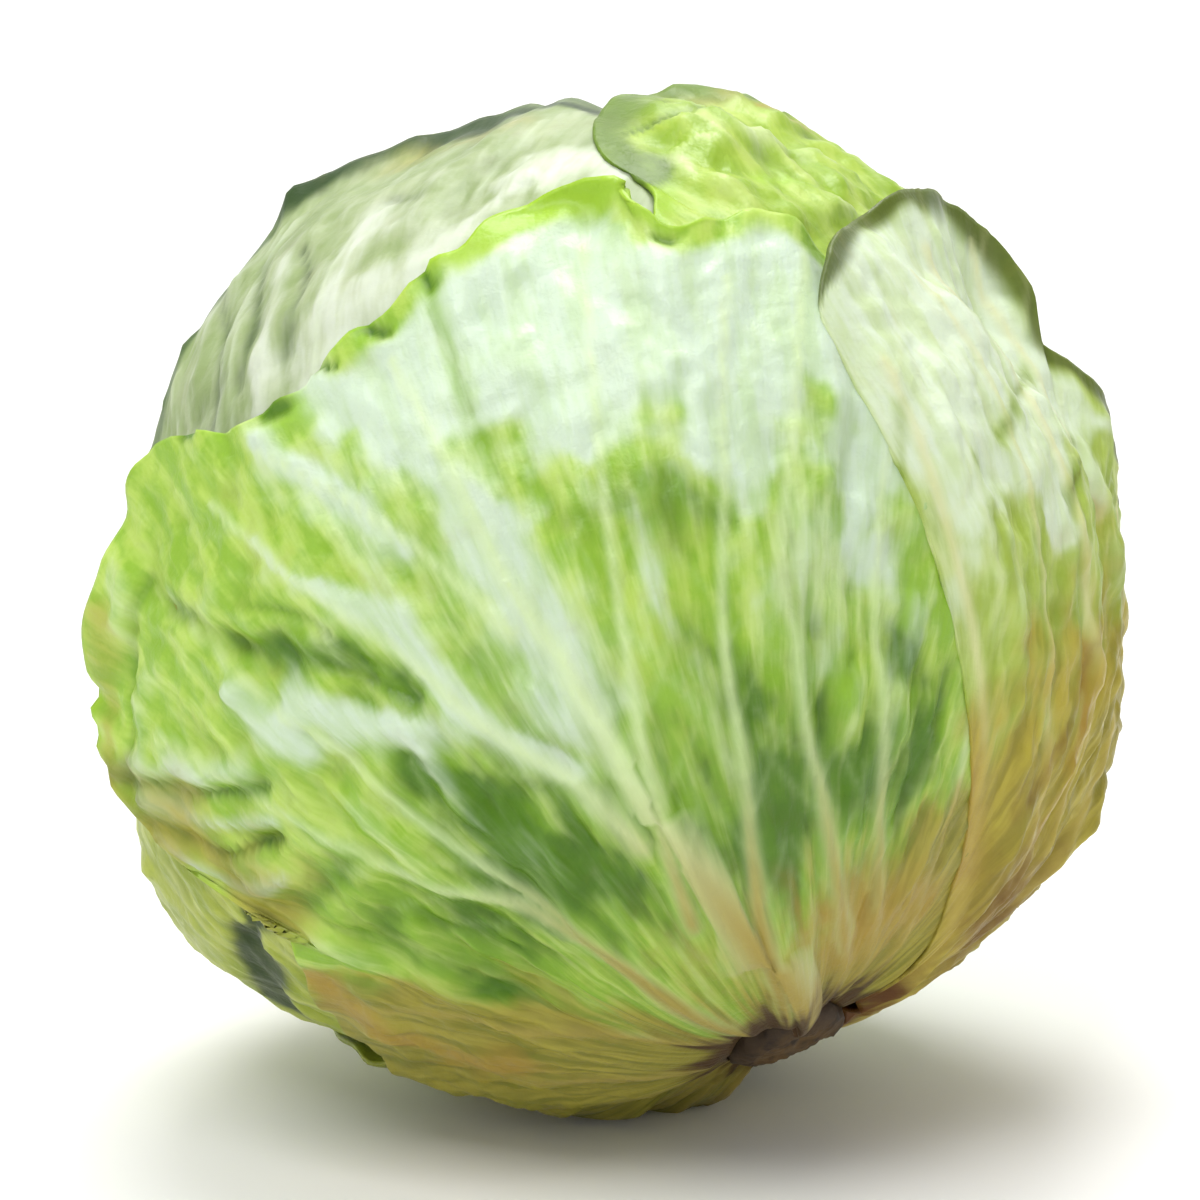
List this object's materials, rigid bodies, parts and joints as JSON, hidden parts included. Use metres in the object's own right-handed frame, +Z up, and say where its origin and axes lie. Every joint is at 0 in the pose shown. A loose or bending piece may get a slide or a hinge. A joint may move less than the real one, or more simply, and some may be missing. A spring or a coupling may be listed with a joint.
{
  "type": "iceberg lettuce",
  "caption": "Round iceberg lettuce head lying on its side: a firm heart and cut stem wrapped in waved, ribbed, overlapping leaves.",
  "frame": {"origin": "on the surface that the head lies on, straight below the middle of its bounding box", "axes": "+Z up, out of the surface it lies on; -Y towards the viewer's side, where the front leaf is; +X to the viewer's right. The stem points down, right and to the front, 41.5 degrees from straight down"},
  "size_m": [0.1617, 0.1557, 0.1617],
  "materials": {
    "leaf_green": "waxy fresh leaf, bright green with pale ribs",
    "leaf_pale": "waxy inner leaf, pale whitish green",
    "leaf_yellow_green": "waxy frilled leaf, bright yellow-green",
    "leaf_olive": "older outer leaf, olive to tan",
    "stem_cut": "dried cut stem, brown"
  },
  "bodies": {
    "root": {"heart": "leaf_pale", "stem": "stem_cut", "crown_leaf": "leaf_green", "upper_left_leaf": "leaf_pale", "top_leaf": "leaf_yellow_green", "back_leaf": "leaf_green", "back_right_leaf": "leaf_green", "left_leaf": "leaf_olive", "under_leaf": "leaf_olive", "front_leaf": "leaf_green", "right_leaf": "leaf_olive"}
  },
  "joints": []
}
